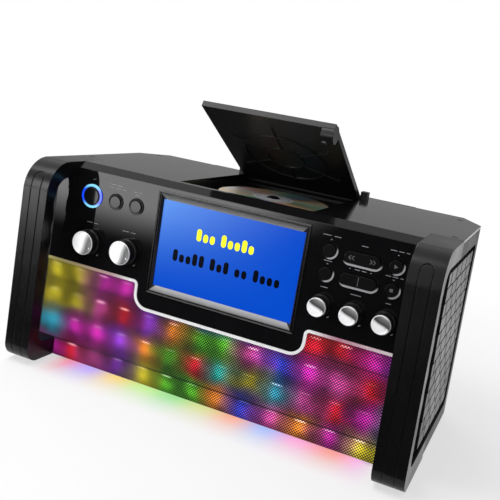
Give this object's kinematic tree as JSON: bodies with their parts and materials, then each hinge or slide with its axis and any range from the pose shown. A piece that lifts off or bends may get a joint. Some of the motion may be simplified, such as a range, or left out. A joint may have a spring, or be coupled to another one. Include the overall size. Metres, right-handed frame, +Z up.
{
  "type": "karaoke machine with disc tray",
  "caption": "Tabletop karaoke machine with a top-loading disc player, a colour screen, knobs, two grab handles, patterned side grilles and a lit mesh front.",
  "frame": {"origin": "on the ground under the centre of the whole footprint, with the lid standing open as in the picture", "axes": "+X to the right as seen from the front, +Y to the back, +Z up; the control panel faces -Y"},
  "size_m": [0.44, 0.27, 0.3041],
  "materials": {
    "shell_satin": "fine satin moulded plastic",
    "grip_satin": "satin moulded plastic",
    "gloss_black": "high gloss black plastic",
    "grille": "satin moulded relief",
    "screen": "lit colour display",
    "bright_trim": "bright metal coated plastic",
    "mesh": "fine expanded mesh lit from behind",
    "diffuser": "translucent white sheet",
    "board": "printed circuit board",
    "inner_plastic": "plain black plastic",
    "speaker": "paper cone in a steel basket",
    "well_black": "fine textured black plastic",
    "steel": "ground or drawn steel",
    "dark_steel": "blackened steel",
    "blue_ring": "lit clear plastic",
    "rubber": "soft black rubber",
    "socket_black": "black socket plastic",
    "disc": "metallised clear plastic disc",
    "sled_metal": "die cast carriage",
    "lens": "coated lens",
    "spun_knob": "metal coated cap with a spun face",
    "button_black": "gloss black plastic"
  },
  "bodies": {
    "cabinet": {"base_plate": "shell_satin", "left_side": "shell_satin", "right_side": "shell_satin", "back_panel": "shell_satin", "top_deck": "gloss_black", "control_panel": "gloss_black", "left_handle": "grip_satin", "right_handle": "grip_satin", "left_side_grille": "grille", "right_side_grille": "grille", "screen_surround": "gloss_black", "screen_panel": "screen", "window_trim": "bright_trim", "mesh_front": "mesh", "light_diffuser": "diffuser", "light_board": "board", "front_baffle": "inner_plastic", "left_speaker": "speaker", "right_speaker": "speaker", "disc_well": "well_black", "lid_hinge_pins": "steel", "spindle_motor": "steel", "sled_rods": "steel", "main_board": "board", "left_control_board": "board", "right_control_board": "board", "potentiometers": "steel", "power_ring": "blue_ring", "button_rings": "bright_trim", "rubber_feet": "rubber", "case_screws": "dark_steel", "power_inlet": "socket_black", "rear_jacks": "socket_black", "tablet_ledge": "shell_satin"},
    "lid": {"disc_lid": "gloss_black", "lid_latch": "well_black"},
    "spindle": {"spindle_hub": "well_black", "disc": "disc"},
    "sled": {"laser_sled": "sled_metal", "laser_lens": "lens"},
    "music_control": {"music_knob": "spun_knob", "music_shaft": "steel"},
    "mic_control": {"mic_knob": "spun_knob", "mic_shaft": "steel"},
    "echo_control": {"echo_knob": "spun_knob", "echo_shaft": "steel"},
    "balance_control": {"balance_knob": "spun_knob", "balance_shaft": "steel"},
    "tone_control": {"tone_knob": "spun_knob", "tone_shaft": "steel"},
    "power_key": {"power_button": "button_black"},
    "mode_key": {"mode_button": "button_black"},
    "input_key": {"input_button": "button_black"},
    "program_key": {"program_button": "button_black"},
    "vocal_key": {"vocal_button": "button_black"},
    "play_key": {"play_button": "button_black"},
    "stop_key": {"stop_button": "button_black"},
    "skip_key": {"skip_rocker": "button_black"},
    "tune_key": {"key_rocker": "button_black"}
  },
  "joints": [
    {"name": "lid_hinge", "type": "hinge", "parent": "cabinet", "child": "lid", "pos_m": [0.002, 0.098, 0.2166], "axis": [-1, 0, 0], "range_deg": [-29.8, 50]},
    {"name": "disc_spin", "type": "hinge", "parent": "cabinet", "child": "spindle", "pos_m": [0.002, 0.009, 0.205], "axis": [0, 0, 1], "continuous": true},
    {"name": "sled_travel", "type": "slide", "parent": "cabinet", "child": "sled", "axis": [0, -1, 0], "range_m": [0, 0.032]},
    {"name": "music_turn", "type": "hinge", "parent": "cabinet", "child": "music_control", "pos_m": [-0.1575, -0.09, 0.14], "axis": [0, 1, 0], "range_deg": [-265, 35]},
    {"name": "mic_turn", "type": "hinge", "parent": "cabinet", "child": "mic_control", "pos_m": [-0.1115, -0.09, 0.14], "axis": [0, 1, 0], "range_deg": [-265, 35]},
    {"name": "echo_turn", "type": "hinge", "parent": "cabinet", "child": "echo_control", "pos_m": [0.104, -0.09, 0.14], "axis": [0, 1, 0], "range_deg": [-265, 35]},
    {"name": "balance_turn", "type": "hinge", "parent": "cabinet", "child": "balance_control", "pos_m": [0.1348, -0.09, 0.14], "axis": [0, 1, 0], "range_deg": [-265, 35]},
    {"name": "tone_turn", "type": "hinge", "parent": "cabinet", "child": "tone_control", "pos_m": [0.1656, -0.09, 0.14], "axis": [0, 1, 0], "range_deg": [-265, 35]},
    {"name": "power_press", "type": "slide", "parent": "cabinet", "child": "power_key", "axis": [0, 1, 0], "range_m": [0, 0.0012], "stiffness_N_per_m": 300, "springref_m": -0.0006},
    {"name": "mode_press", "type": "slide", "parent": "cabinet", "child": "mode_key", "axis": [0, 1, 0], "range_m": [0, 0.0012], "stiffness_N_per_m": 300, "springref_m": -0.0006},
    {"name": "input_press", "type": "slide", "parent": "cabinet", "child": "input_key", "axis": [0, 1, 0], "range_m": [0, 0.0012], "stiffness_N_per_m": 300, "springref_m": -0.0006},
    {"name": "program_press", "type": "slide", "parent": "cabinet", "child": "program_key", "axis": [0, 1, 0], "range_m": [0, 0.0012], "stiffness_N_per_m": 300, "springref_m": -0.0006},
    {"name": "vocal_press", "type": "slide", "parent": "cabinet", "child": "vocal_key", "axis": [0, 1, 0], "range_m": [0, 0.0012], "stiffness_N_per_m": 300, "springref_m": -0.0006},
    {"name": "play_press", "type": "slide", "parent": "cabinet", "child": "play_key", "axis": [0, 1, 0], "range_m": [0, 0.0012], "stiffness_N_per_m": 300, "springref_m": -0.0006},
    {"name": "stop_press", "type": "slide", "parent": "cabinet", "child": "stop_key", "axis": [0, 1, 0], "range_m": [0, 0.0012], "stiffness_N_per_m": 300, "springref_m": -0.0006},
    {"name": "skip_tilt", "type": "hinge", "parent": "cabinet", "child": "skip_key", "pos_m": [0.1348, -0.084, 0.1908], "axis": [0, 0, 1], "range_deg": [-2.5, 2.5], "stiffness_Nm_per_rad": 0.05},
    {"name": "tune_tilt", "type": "hinge", "parent": "cabinet", "child": "tune_key", "pos_m": [0.1348, -0.084, 0.17], "axis": [0, 0, 1], "range_deg": [-2.5, 2.5], "stiffness_Nm_per_rad": 0.05}
  ]
}
